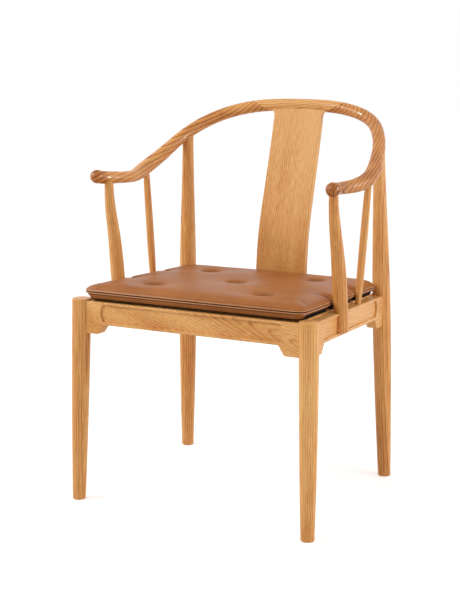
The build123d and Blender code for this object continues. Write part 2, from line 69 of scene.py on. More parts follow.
# Shares of the tone, which runs from 0 for pale wood to 1 for the colour of the pores.
RING_TONE = 0.40
FIBRE_TONE = 1.10
PATCH_TONE = 0.80
TONE_SHIFT = -0.75          # brings the sum of the shares back to the middle of the colours
# Darkening of the knobs, a painted dark reflection on the glossy ball ends.
KNOB_REFLECTION_TONE = 0.27
LATE_WOOD = ((0.0, 0.05), (0.55, 0.20), (0.80, 0.55), (0.93, 1.0), (1.0, 0.05))     # over one ring
KNOB_FADE = (0.004, -0.006)     # how far behind the knob's back the painted dark reflection starts and is full

# ---- Form of the cushion ---------------------------------------------------------------------------
# Levels, each an inset from the cushion's outline and a height: of the shoulder above the upper
# seam, of the underside and the foam's foot above the seat, and of the lower rim above its seam.
SHOULDER = ((0.0000, -0.0005), (0.0002, 0.0010), (0.0035, 0.0045), (0.0085, 0.0076), (0.0160, 0.0102))
CROWN_INSET = 0.0280
UNDERSIDE_INSET = 0.0205
UNDERSIDE = ((0.0185, -0.0018), (0.0110, -0.0020), (0.0098, -0.0012), (0.0088, 0.0026), (0.0070, 0.0058))
LOWER_RIM = ((0.0036, -0.0036), (0.0048, 0.0002), (0.0100, 0.0003))
LEAF_SWELL = ((0.0018, 1.6), (0.0045, 3.3), (0.0100, 3.5))     # insets, and times the leaf's rise
LEAF_WIDTH = 0.0100
LEAF_ARRIS = 0.0005         # height of the worn arris of a leather edge
LEAF_ARRIS_INSET = 0.0004
LEAF_HEEL = 0.0002          # the hidden inner edge ends so far above the outer one
FOAM_INSET = 0.0110
FOAM_FOOT = (0.0200, 0.0025)
FOAM_CROWN_INSET = 0.0160
RADIUS_LOSS = 0.55          # share of an inset that a rounded corner loses
LEAST_RADIUS = 0.003
NOTCH_SPREAD = 0.45         # share of an inset by which a notch widens each way
TOP_SKIN = 0.004            # the tufts pull at what lies so far under the crown or higher
DIMPLE_SLOPE = 0.75         # share of a dimple's radius over which it falls
HELD_SHARE = 0.6            # share of a dimple's radius that the stuffing can't lift
TUFT_ROOM = 0.002           # foam left out under the deepest point of a dimple
LEG_REST = 0.021            # the underside is held up so far round a front leg's axis
LEG_RUN = 0.010             # and falls over this length
BACK_REST = 0.04            # it is held up over this length at the back
BACK_RUN = 0.02             # and falls over this length before it
CLOTH_AND_SHADE_FRONT = 0.0020          # top of the black cloth at the front, partly underside cloth and partly painted shade
CLOTH_AND_SHADE_BEHIND = 0.0080         # and at the sides and the back
FLAT = 0.99                 # upward share of the normal of a level face
UPRIGHT = 0.3               # and of a face that stands on edge

# ---- Studio ----------------------------------------------------------------------------------------
FLOOR_RADIUS = 14
SEAT_AIM = (0, 0, 0.45)
ARM_AIM = (0, 0, 0.6)
GLINT_SIZE = 0.6
GLINT_PLACES = {"glint_lamp_left": (-2.7, -0.8, 2.2), "glint_lamp_right": (2.5, 0.7, 1.1)}


# ---- Sizes and colours that a user would change --------------------------------------------------
def colour(name, description, value):
    return FloatVectorProperty(
        name=name, description=description, subtype="COLOR", size=3, min=0, max=1, default=value
    )


def length(name, description, value):
    return FloatProperty(name=name, description=description, default=value, unit="LENGTH", subtype="DISTANCE")


def share(name, description, value):
    return FloatProperty(name=name, description=description, default=value, min=0, max=1, subtype="FACTOR")


def watts(name, description, value):
    return FloatProperty(name=name, description=description, default=value, min=0, unit="POWER")


def angle(name, description, degrees):
    return FloatProperty(
        name=name, description=description, default=radians(degrees), unit="ROTATION", subtype="ANGLE"
    )


def place_in_space(name, description, value):
    return FloatVectorProperty(
        name=name, description=description, size=3, subtype="TRANSLATION", unit="LENGTH", default=value
    )


class ArmchairWood(bpy.types.PropertyGroup):
    """Colours and figure of the hardwood."""

    pale: colour("Pale wood", "Early wood between the rings", (0.86, 0.495, 0.185))
    honey: colour("Honey wood", "Middle tone of the wood", (0.70, 0.320, 0.088))
    russet: colour("Russet wood", "Late wood at the rings", (0.46, 0.145, 0.030))
    umber: colour("Pores", "Fine dark lines of the pores", (0.20, 0.055, 0.008))
    ring_width: length("Ring width", "Growth of one year in the wood", 0.0046)
    fibre_width: length("Fibre width", "Width of one streak of fibres", 0.0011)
    roughness: share("Roughness", "Roughness of the oiled wood", 0.42)


class ArmchairLeather(bpy.types.PropertyGroup):
    """Colours and grain of the leather."""

    tan: colour("Tan", "Worn, lighter leather", (0.40, 0.139, 0.028))
    brown: colour("Brown", "Deeper leather", (0.30, 0.092, 0.016))
    # The raw edge colour is partly the pale cut edge and partly a painted highlight along the seam.
    raw_edge_and_highlight: colour("Raw edge", "Cut edge of the leather", (0.64, 0.36, 0.20))
    felt: colour("Felt", "Cloth under the cushion", (0.012, 0.011, 0.011))
    pebble: length("Pebble", "Width of the leather's grain", 0.0013)
    roughness: share("Roughness", "Roughness of the leather", 0.42)


class ArmchairCushion(bpy.types.PropertyGroup):
    """Sizes of the loose cushion, in the tilted plane of the seat."""

    seat_origin: place_in_space("Seat origin", "Top of the seat between the front legs", (0, -0.2473, 0.429))
    seat_slope: angle("Seat slope", "Fall of the seat to the back", 2.2)
    front: length("Front", "Front edge from the seat origin", -0.0123)
    back: length("Back", "Back edge from the seat origin", 0.3981)
    half_front: length("Half width at the front", "From the middle to the side at the front", 0.249)
    half_back: length("Half width at the back", "From the middle to the side at the back", 0.2375)
    front_radius: length("Front corner", "Radius of the front corners", 0.022)
    back_radius: length("Back corner", "Radius of the back corners", 0.022)
    post_notch: FloatVectorProperty(
        name="Post notch", description="Post's axis, and how far its notch reaches forward and back", size=3,
        unit="LENGTH", default=(0.1486, 0.014, 0.002),
    )
    spindle_notch: FloatVectorProperty(
        name="Spindle notch", description="Spindle's axis, and how far its notch reaches forward and back",
        size=3, unit="LENGTH", default=(0.2688, 0.002, 0.013),
    )
    notch_depth: length("Notch depth", "From the side to the bottom of a notch", 0.022)
    lip_radius: length("Notch lip", "Radius at the mouth of a notch", 0.013)
    throat_radius: length("Notch throat", "Radius at the bottom of a notch", 0.006)
    seam_low: length("Lower seam", "Underside of the flange above the seat", 0.0134)
    seam_high: length("Upper seam", "Top of the flange above the seat", 0.0199)
    groove: length("Groove", "Between the two leather edges in the flange", 0.0022)
    rest: length("Rest", "Underside above the seat, where it lies on it", 0.0004)
    front_leg: place_in_space("Front leg", "Axis of the right front leg in the seat", (0.2397, 0, 0))
    crown: length("Crown", "Top of the cushion above the seat", 0.0320)
    tuft_x: length("Tuft x", "From the middle tuft to the outer ones, sideways", 0.1255)
    tuft_y: length("Tuft y", "From the middle tuft to the outer ones, front to back", 0.121)
    tuft_middle: length("Middle tuft", "Middle tuft from the seat origin", 0.1958)
    tuft_radius: length("Tuft radius", "Half the width of a dimple", 0.029)
    tuft_depth: length("Tuft depth", "Depth of a dimple", 0.0092)
    swell: length("Swell", "Most that the stuffing may push the leather out", 0.005)
    voxel: length("Voxel", "Grid of the simulated leather", 0.0055)
    frames: IntProperty(name="Frames", description="Steps of the stuffing simulation", default=20, min=2)


class ArmchairStudio(bpy.types.PropertyGroup):
    """Camera, lamps and floor."""

    camera_place: place_in_space("Camera", "Place of the camera", (1.2628, -2.4897, 0.9487))
    camera_yaw: angle("Camera yaw", "Turn of the camera to the left", 27.65)
    camera_pitch: angle("Camera pitch", "How far the camera looks down", 11.30)
    camera_lens: FloatProperty(name="Lens", description="Focal length in millimetres", default=78.22, min=10)
    key_power: watts("Key lamp", "Power of the large soft lamp at the left", 68)
    fill_power: watts("Fill lamp", "Power of the large soft lamp at the right", 34)
    glint_power: watts("Glint lamps", "Power of each lamp that shows only in the gloss", 90)
    sky_front: share("Sky in front", "Light from where the chair faces", 0.48)
    sky_back: share("Sky behind", "Light from behind the chair", 0.95)
    floor: colour("Floor", "Colour of the floor", (0.70, 0.70, 0.70))
    floor_glow: share("Floor glow", "What the floor adds to its colour where it is seen", 0.49)


# ---- Shader helpers --------------------------------------------------------------------------------
def add(tree, kind, inputs=None, **settings):
    """New shader node with its settings and its inputs, which are values or sockets."""
    new = tree.nodes.new("ShaderNode" + kind)
    for key, value in settings.items():
        setattr(new, key, value)
    for key, value in (inputs or {}).items():
        if isinstance(value, bpy.types.NodeSocket):
            tree.links.new(value, new.inputs[key])
        else:
            new.inputs[key].default_value = value
    return new


def maths(tree, operation, first, second):
    """Result of a sum of two values or sockets."""
    return add(tree, "Math", {0: first, 1: second}, operation=operation).outputs[0]


def ramp(tree, factor, stops):
    """Colour ramp over a factor; stops are pairs of position and colour."""
    new = add(tree, "ValToRGB", {"Fac": factor})
    elements = new.color_ramp.elements
    while len(elements) < len(stops):
        elements.new(0.5)
    for element, (position, value) in zip(elements, stops):
        element.position = position
        element.color = (*value, 1)
    return new.outputs["Color"]


def finish_of(name):
    """Empty node material with its surface shader."""
    material = bpy.data.materials.new(name)
    material.use_nodes = True
    tree = material.node_tree
    tree.nodes.clear()
    surface = add(tree, "BsdfPrincipled")
    out = add(tree, "OutputMaterial", {"Surface": surface.outputs[0]})
    out.is_active_output = True
    return material, tree, surface


def colour_by(tree, surface, colour_socket):
    tree.links.new(colour_socket, surface.inputs["Base Color"])


def bumped(tree, surface, height, distance):
    """Fine relief that follows a height; distance is its depth in metres."""
    bump = add(tree, "Bump", {"Height": height, "Distance": distance, "Strength": 1.0})
    tree.links.new(bump.outputs[0], surface.inputs["Normal"])


def uneven(tree, surface, pattern, roughness, less, more):
    """Roughness that follows a pattern, from a little less to a little more than its middle."""
    rough = add(
        tree, "MapRange",
        {"Value": pattern, "From Min": 0.3, "From Max": 0.7, "To Min": roughness - less,
         "To Max": roughness + more},
    ).outputs[0]
    tree.links.new(rough, surface.inputs["Roughness"])


def hardwood(
    name, along, centre, pith, warp=1.0, contrast=1.0, shade=0.0, rings_wide=1.0, foot=0.0, knob=None
):
    """Solid wood. Its grain runs along a line, and its rings lie round a pith beside the piece.

    The pith is given from the piece's centre. Warp bends the rings, contrast strengthens them and
    rings_wide spreads them. Shade darkens the wood, and foot by so much more for each metre down the
    grain. What lies in front of the knob's back is end grain, which takes more oil and is darker.
    """
    wood = bpy.context.scene.armchair_wood
    material, tree, surface = finish_of(name)
    turn = Vector(along).normalized().rotation_difference(UP)
    place = -(turn @ (Vector(centre) + Vector(pith)))
    coords = add(tree, "TexCoord").outputs["Object"]
    log = add(tree, "Mapping", {"Vector": coords, "Location": place, "Rotation": turn.to_euler()}).outputs[0]
    drawn = add(tree, "Mapping", {"Vector": log, "Scale": (1, 1, RING_STRETCH)}).outputs[0]
    threads = add(tree, "Mapping", {"Vector": log, "Scale": (1, 1, FIBRE_STRETCH)}).outputs[0]
    rings = add(
        tree, "TexWave",
        {"Vector": drawn, "Scale": WAVE_STEP / (wood.ring_width * rings_wide), "Distortion": warp,
         "Detail": 2.5, "Detail Scale": 0.12, "Detail Roughness": 0.55},
        wave_type="RINGS", rings_direction="Z", wave_profile="SAW",
    ).outputs["Fac"]
    late = ramp(tree, rings, [(at, (value,) * 3) for at, value in LATE_WOOD])
    fibre = add(tree, "TexNoise", {"Vector": threads, "Scale": 1 / wood.fibre_width, "Detail": 3}).outputs[0]
    patch = add(tree, "TexNoise", {"Vector": drawn, "Scale": 26, "Detail": 2}).outputs[0]
    specks = add(tree, "Mapping", {"Vector": log, "Scale": (1, 1, PORE_STRETCH)}).outputs[0]
    speck = add(tree, "TexNoise", {"Vector": specks, "Scale": 2.2 / wood.fibre_width, "Detail": 1}).outputs[0]
    pore = add(tree, "MapRange", {"Value": speck, "From Min": 0.60, "From Max": 0.70}).outputs[0]
    tone = maths(tree, "MULTIPLY", late, RING_TONE * contrast)
    tone = maths(tree, "ADD", tone, maths(tree, "MULTIPLY", fibre, FIBRE_TONE))
    tone = maths(tree, "ADD", tone, maths(tree, "MULTIPLY", patch, PATCH_TONE))
    # Painted shade: darker for each metre down the grain, where less light falls.
    down = add(tree, "SeparateXYZ", {"Vector": log}).outputs["Z"]
    tone = maths(tree, "SUBTRACT", tone, maths(tree, "MULTIPLY", down, foot))
    tone = maths(tree, "ADD", tone, shade + TONE_SHIFT)
    # Painted dark reflection: the knob in front of its back is darkened.
    if knob is not None:
        forward = add(tree, "SeparateXYZ", {"Vector": coords}).outputs["Y"]
        starts, full = (knob + fade for fade in KNOB_FADE)
        knob_dark_reflection = add(
            tree, "MapRange",
            {"Value": forward, "From Min": starts, "From Max": full, "To Max": KNOB_REFLECTION_TONE},
        ).outputs[0]
        tone = maths(tree, "ADD", tone, knob_dark_reflection)
    base = ramp(tree, tone, (
        (0.05, wood.pale), (0.42, wood.honey), (0.80, wood.russet), (1.0, wood.umber),
    ))
    speckled = add(
        tree, "MixRGB",
        {"Fac": maths(tree, "MULTIPLY", pore, 0.30), "Color1": base, "Color2": (*wood.umber, 1)},
    )
    colour_by(tree, surface, speckled.outputs[0])
    uneven(tree, surface, fibre, wood.roughness, less=0.05, more=0.07)
    surface.inputs["Specular IOR Level"].default_value = 0.15
    surface.inputs["Coat Weight"].default_value = 0.20
    surface.inputs["Coat Roughness"].default_value = 0.07
    relief = maths(tree, "SUBTRACT", fibre, maths(tree, "MULTIPLY", pore, 0.5))
    bumped(tree, surface, relief, distance=0.00018)
    return material


def leather(name, shade=1.0):
    """Waxed leather with a fine pebbled grain and soft cloudy colour, darker where it is tucked in."""
    look = bpy.context.scene.armchair_leather
    material, tree, surface = finish_of(name)
    coords = add(tree, "TexCoord").outputs["Object"]
    cloud = add(tree, "TexNoise", {"Vector": coords, "Scale": 14, "Detail": 4}).outputs[0]
    pebble = add(
        tree, "TexVoronoi", {"Vector": coords, "Scale": 1 / look.pebble}, feature="DISTANCE_TO_EDGE"
    ).outputs["Distance"]
    fine = add(tree, "TexNoise", {"Vector": coords, "Scale": 2.5 / look.pebble, "Detail": 3}).outputs[0]
    tone = maths(tree, "ADD", cloud, maths(tree, "MULTIPLY", fine, 0.25))
    # shade scales the colours down, for a darker copy of the leather that is painted shade.
    base = ramp(tree, tone, (
        (0.38, [c * shade for c in look.brown]), (0.82, [c * shade for c in look.tan]),
    ))
    tucked = add(tree, "Attribute", attribute_name="tucked").outputs["Fac"]
    dark = [0.55 * c for c in look.brown]
    deep = add(
        tree, "MixRGB", {"Fac": maths(tree, "MULTIPLY", tucked, 0.90), "Color1": base, "Color2": (*dark, 1)}
    )
    colour_by(tree, surface, deep.outputs[0])
    uneven(tree, surface, cloud, look.roughness, less=0.05, more=0.06)
    surface.inputs["Specular IOR Level"].default_value = 0.19
    relief = maths(tree, "ADD", maths(tree, "MINIMUM", pebble, 0.35), maths(tree, "MULTIPLY", fine, 0.3))
    bumped(tree, surface, relief, distance=0.00022)
    return material


def raw_leather(name):
    """Cut edge of leather: pale fibres in thin layers."""
    look = bpy.context.scene.armchair_leather
    material, tree, surface = finish_of(name)
    coords = add(tree, "TexCoord").outputs["Object"]
    layers = add(tree, "Mapping", {"Vector": coords, "Scale": (0.3, 0.3, 1)}).outputs[0]
    fibre = add(tree, "TexNoise", {"Vector": layers, "Scale": 900, "Detail": 3}).outputs[0]
    colour_by(tree, surface, ramp(tree, fibre, ((0.3, look.tan), (0.6, look.raw_edge_and_highlight))))
    surface.inputs["Roughness"].default_value = 0.75
    bumped(tree, surface, fibre, distance=0.0002)
    return material


def woven(name, tint, width):
    """Plain woven cloth."""
    material, tree, surface = finish_of(name)
    coords = add(tree, "TexCoord").outputs["Object"]
    threads = {"Vector": coords, "Scale": WAVE_STEP / width}
    warp, weft = (add(tree, "TexWave", threads, bands_direction=way).outputs["Fac"] for way in "XY")
    weave = maths(tree, "MULTIPLY", warp, weft)
    colour_by(tree, surface, ramp(tree, weave, ((0.0, [c * 0.6 for c in tint]), (1.0, tint))))
    surface.inputs["Roughness"].default_value = 0.9
    surface.inputs["Specular IOR Level"].default_value = 0.05
    bumped(tree, surface, weave, distance=0.0002)
    return material


def foam(name):
    """Cut foam with open cells."""
    material, tree, surface = finish_of(name)
    coords = add(tree, "TexCoord").outputs["Object"]
    cells = add(tree, "TexVoronoi", {"Vector": coords, "Scale": 900}).outputs["Distance"]
    colour_by(tree, surface, ramp(tree, cells, ((0.0, (0.60, 0.54, 0.40)), (0.6, (0.86, 0.82, 0.70)))))
    surface.inputs["Roughness"].default_value = 0.95
    bumped(tree, surface, cells, distance=0.0004)
    return material


def screw_steel(name):
    """Zinc-plated steel with fine turning marks."""
    material, tree, surface = finish_of(name)
    coords = add(tree, "TexCoord").outputs["Object"]
    marks = add(tree, "TexNoise", {"Vector": coords, "Scale": 2500, "Detail": 2}).outputs[0]
    colour_by(tree, surface, ramp(tree, marks, ((0.3, (0.52, 0.52, 0.50)), (0.7, (0.66, 0.66, 0.64)))))
    surface.inputs["Metallic"].default_value = 1.0
    surface.inputs["Roughness"].default_value = 0.32
    bumped(tree, surface, marks, distance=0.00005)
    return material


def dress(names, material):
    """Gives CAD nodes a material."""
    for name in names:
        nodes[name].data.materials.clear()
        nodes[name].data.materials.append(material)


def middle(name):
    """Middle of a CAD node's box."""
    low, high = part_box(name)
    return (low + high) / 2


class WoodOperator(bpy.types.Operator):
    """Shared by the operators that finish wooden pieces."""

    bl_options = {"REGISTER", "UNDO"}


class ARMCHAIR_OT_legs(WoodOperator):
    """Finishes the four round legs"""

    bl_idname = "armchair.legs"
    bl_label = "Legs"

    def execute(self, context):
        for name, along, pith, warp, shade in (
            ("front_leg_left", (0.02, 0.03, 1), (0.09, -0.03, 0), 1.0, 0.04),
            ("front_leg_right", (-0.02, 0.03, 1), (-0.08, -0.04, 0), 0.8, 0),
            ("back_leg_left", (0.027, -0.034, 1), (0.05, 0.05, 0), 2.0, 0.10),
            ("back_leg_right", (-0.027, -0.034, 1), (-0.09, 0.02, 0), 1.0, 0.04),
        ):
            # foot darkens each leg towards the floor, a painted shade.
            dress([name], hardwood(f"{name}_wood", along, middle(name), pith, warp, shade=shade, foot=0.25))
        return {"FINISHED"}


class ARMCHAIR_OT_aprons(WoodOperator):
    """Finishes the four boards of the seat frame"""

    bl_idname = "armchair.aprons"
    bl_label = "Seat frame"

    def execute(self, context):
        for name, along, pith, warp in (
            ("front_apron", (1, 0.10, -0.30), (0.02, -0.045, 0.06), 3.0),
            ("back_apron", (1, -0.04, 0.03), (0, 0.03, 0.09), 1.5),
            ("side_apron_left", (0.04, 1, 0.05), (0.02, 0, 0.10), 1.5),
            ("side_apron_right", (-0.04, 1, -0.10), (-0.02, 0, 0.10), 1.5),
        ):
            dress([name], hardwood(f"{name}_wood", along, middle(name), pith, warp))
        return {"FINISHED"}


class ARMCHAIR_OT_supports(WoodOperator):
    """Finishes the arm posts and the side spindles"""

    bl_idname = "armchair.supports"
    bl_label = "Posts and spindles"

    def execute(self, context):
        for name, along, pith, warp, shade in (
            ("arm_post_left", (0, -0.12, 1), (0.08, 0.02, 0), 0.8, 0),
            ("arm_post_right", (0, -0.12, 1), (-0.09, -0.02, 0), 0.9, 0.20),
            ("side_spindle_left", (-0.066, 0.01, 1), (0.06, -0.03, 0), 0.7, 0),
            ("side_spindle_right", (0.066, 0.01, 1), (-0.07, -0.02, 0), 0.7, 0.06),
        ):
            dress([name], hardwood(f"{name}_wood", along, middle(name), pith, warp, shade=shade))
        return {"FINISHED"}


class ARMCHAIR_OT_rail(WoodOperator):
    """Finishes the bent rail, whose arms are cut from straight-grained boards"""

    bl_idname = "armchair.rail"
    bl_label = "Rail"
    knob_radius: length("Knob radius", "Ball that ends each hand", 0.0142)

    def execute(self, context):
        knob_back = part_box("rail_arm_left")[0].y + 2 * self.knob_radius
        for name, along, pith, warp, contrast, shade, rings_wide in (
            ("rail_back", (1, 0.03, 0.09), (-0.01, 0.02, 0.07), 5.0, 2.0, -0.14, 1.2),
            ("rail_arm_left", (0.22, 0.94, 0.25), (-0.10, -0.02, 0.13), 3.5, 1.5, 0.12, 1.9),
            ("rail_arm_right", (0.36, 0.38, 0.85), (-0.40, -0.15, 0.24), 2.0, 1.25, 0.31, 1.3),
        ):
            wood = hardwood(
                f"{name}_wood", along, middle(name), pith, warp, contrast, shade, rings_wide, knob=knob_back
            )
            dress([name], wood)
        return {"FINISHED"}


class ARMCHAIR_OT_splat(WoodOperator):
    """Finishes the curved board of the back"""

    bl_idname = "armchair.splat"
    bl_label = "Back splat"

    def execute(self, context):
        # foot darkens the splat towards the seat, a painted shade.
        wood = hardwood(
            "back_splat_wood", (0, 0.24, 1), middle("back_splat"), (0.32, 0.04, 0), 1.1, 0.85, -0.04, 1.2,
            foot=0.70,
        )
        dress(["back_splat"], wood)
        return {"FINISHED"}


class ARMCHAIR_OT_inside(WoodOperator):
    """Finishes the panel, blocks, dowels and screws inside the seat"""

    bl_idname = "armchair.inside"
    bl_label = "Inside the seat"

    def execute(self, context):
        # The panel's wood is darkened by 0.1, painted shade in the gap under the cushion.
        panel = hardwood("seat_panel_wood", (1, 0, 0), middle("seat_panel"), (0, 0.02, 0.12), 3.0, 0.7, 0.1)
        block = hardwood("corner_block_wood", (0, 1, 0.03), (0, 0, 0.4), (0.04, 0, 0.03), 1.5, 0.8)
        dress(["seat_panel"], panel)
        dress([name for name in nodes if "corner_block" in name], block)
        dress(["scarf_dowels"], hardwood("dowel_wood", (1, 0, 0), middle("scarf_dowels"), (0, 0.02, 0.02)))
        dress(["block_screws", "seat_screws", "post_screws"], screw_steel("screw_steel"))
        return {"FINISHED"}


# ---- Cushion ---------------------------------------------------------------------------------------
def seat_to_world(shape):
    """Puts what is made in the seat's own plane into the chair."""
    return Matrix.Translation(Vector(shape.seat_origin)) @ Matrix.Rotation(-shape.seat_slope, 4, "X")


def outline_ring(mesh, shape, inset, height, segments):
    """Adds one level outline of the cushion to a bmesh, its corners rounded, and returns its face."""
    def side(y):
        part = (y - shape.front) / (shape.back - shape.front)
        return shape.half_front + (shape.half_back - shape.half_front) * part

    def lip(radius):
        return max(radius - RADIUS_LOSS * inset, LEAST_RADIUS)

    known = set(mesh.faces)
    front, back = shape.front + inset, shape.back - inset
    corners = [(side(front) - inset, front, lip(shape.front_radius))]
    for axis, before, behind in (shape.post_notch, shape.spindle_notch):
        start, stop = axis - before - NOTCH_SPREAD * inset, axis + behind + NOTCH_SPREAD * inset
        floor = side(axis) - shape.notch_depth - inset
        corners.append((side(start) - inset, start, lip(shape.lip_radius)))
        corners.append((floor, start, shape.throat_radius))
        corners.append((floor, stop, shape.throat_radius))
        corners.append((side(stop) - inset, stop, lip(shape.lip_radius)))
    corners.append((side(back) - inset, back, lip(shape.back_radius)))
    right = [mesh.verts.new((x, y, height)) for x, y, _ in corners]
    left = [mesh.verts.new((-x, y, height)) for x, y, _ in corners]
    mesh.faces.new(right + left[::-1])
    for point, twin, (_, _, radius) in zip(right, left, corners):
        bmesh.ops.bevel(
            mesh, geom=[point, twin], offset=radius, offset_type="OFFSET", segments=segments, profile=0.5,
            affect="VERTICES", material=-1,
        )
    return next(face for face in mesh.faces if face not in known)


def through_outlines(shape, levels, hollow=False, segments=5):
    """Closed bmesh through level outlines, each an inset and a height. A hollow one is a ring.

    Two outlines that follow each other differ in height, or the bridge between them may twist.
    """
    mesh = bmesh.new()
    caps = [outline_ring(mesh, shape, inset, height, segments) for inset, height in levels]
    rings = [list(cap.edges) for cap in caps]
    bmesh.ops.delete(mesh, geom=caps if hollow else caps[1:-1], context="FACES_ONLY")
    for low, high in zip(rings, rings[1:] + rings[:1] if hollow else rings[1:]):
        bmesh.ops.bridge_loops(mesh, edges=low + high)
    bmesh.ops.recalc_face_normals(mesh, faces=mesh.faces[:])
    return mesh


def new_piece(name, mesh, materials, place=None):
    """Turns a bmesh into a smooth object at the origin that rides on the cushion."""
    if place is not None:
        bmesh.ops.transform(mesh, matrix=place, verts=mesh.verts)
    data = bpy.data.meshes.new(name)
    mesh.to_mesh(data)
    mesh.free()
    for material in materials:
        data.materials.append(material)
    piece = bpy.data.objects.new(name, data)
    bpy.context.collection.objects.link(piece)
    return piece


def tufts(shape):
    """Places of the five tufts in the seat's plane."""
    x, y, middle_y = shape.tuft_x, shape.tuft_y, shape.tuft_middle
    return [Vector(p) for p in (
        (0, middle_y), (x, middle_y - y), (-x, middle_y - y), (x, middle_y + y), (-x, middle_y + y),
    )]


def tuft_room(shape):
    """How far the foam stays under the crown, so that no dimple reaches it."""
    return shape.tuft_depth + TUFT_ROOM


def smooth_step(part):
    """Eases from 0 to 1 while the part goes from 0 to 1."""
    part = min(max(part, 0), 1)
    return part * part * (3 - 2 * part)


def from_tuft(shape, point):
    """Distance of a point from the nearest tuft, seen from above."""
    return min((point.xy - tuft).length for tuft in tufts(shape))


def tucked_in(shape, point):
    """How far a point of the top is drawn in: 1 in the middle of a dimple and 0 outside it."""
    return smooth_step((1 - from_tuft(shape, point) / shape.tuft_radius) / DIMPLE_SLOPE)


def press_tufts(mesh, shape):
    """Lowers the leather round each tuft."""
    for vert in mesh.vertices:
        if vert.co.z > shape.crown - TOP_SKIN:
            vert.co.z -= shape.tuft_depth * tucked_in(shape, vert.co)


def mark_tufts(mesh, shape):
    """Notes on each point how far it is drawn in, for the leather's colour."""
    marks = mesh.attributes.new("tucked", "FLOAT", "POINT")
    for vert, mark in zip(mesh.vertices, marks.data):
        mark.value = tucked_in(shape, vert.co)


def sag(mesh, shape):
    """Lets the underside hang between the legs, where it lies over the aprons."""
    for vert in mesh.verts:
        if vert.co.z < shape.rest:
            gap = (Vector((abs(vert.co.x), vert.co.y)) - Vector(shape.front_leg).xy).length
            free = smooth_step((gap - LEG_REST) / LEG_RUN)
            free *= smooth_step((shape.back - BACK_REST - vert.co.y) / BACK_RUN)
            vert.co.z = shape.rest + (vert.co.z - shape.rest) * free


def with_modifiers(piece):
    """Applies a piece's modifiers, also those whose result comes from a simulation."""
    graph = bpy.context.evaluated_depsgraph_get()
    data = bpy.data.meshes.new_from_object(piece.evaluated_get(graph), depsgraph=graph)
    piece.modifiers.clear()
    piece.data = data


def stuff(piece, shape):
    """Blows up the remeshed leather with cloth that is held at its seam and its tufts."""
    seam = shape.seam_high + 0.001
    remesh = piece.modifiers.new("Even grid", "REMESH")
    remesh.mode = "VOXEL"
    remesh.voxel_size = shape.voxel
    with_modifiers(piece)
    press_tufts(piece.data, shape)
    rest = [vert.co.copy() for vert in piece.data.vertices]
    held = piece.vertex_groups.new(name="held")
    for vert in piece.data.vertices:
        if vert.co.z < seam or from_tuft(shape, vert.co) < shape.tuft_radius * HELD_SHARE:
            held.add([vert.index], 1.0, "REPLACE")
    cloth = piece.modifiers.new("Stuffing", "CLOTH")
    cloth.settings.vertex_group_mass = "held"
    cloth.settings.quality = 5
    cloth.settings.mass = 0.4
    cloth.settings.tension_stiffness = 25
    cloth.settings.compression_stiffness = 25
    cloth.settings.bending_stiffness = 2.0
    cloth.settings.use_pressure = True
    cloth.settings.uniform_pressure_force = 4
    cloth.settings.effector_weights.gravity = 0
    cloth.point_cache.frame_start = 1
    cloth.point_cache.frame_end = shape.frames
    for step in range(1, shape.frames + 1):
        bpy.context.scene.frame_set(step)
    with_modifiers(piece)
    bpy.context.scene.frame_set(1)
    for vert, start in zip(piece.data.vertices, rest):
        push = vert.co - start
        if push.length > shape.swell:
            vert.co = start + push.normalized() * shape.swell


def leaf_section(start, stop, rise):
    """Levels round one leather edge, from its outer arris up, inwards over its swell and back down."""
    return (
        (LEAF_ARRIS_INSET, start), (0, start + LEAF_ARRIS), (0, stop - LEAF_ARRIS), (LEAF_ARRIS_INSET, stop),
        *((inset, stop + times * rise) for inset, times in LEAF_SWELL),
        (LEAF_WIDTH, start + LEAF_HEEL),
    )


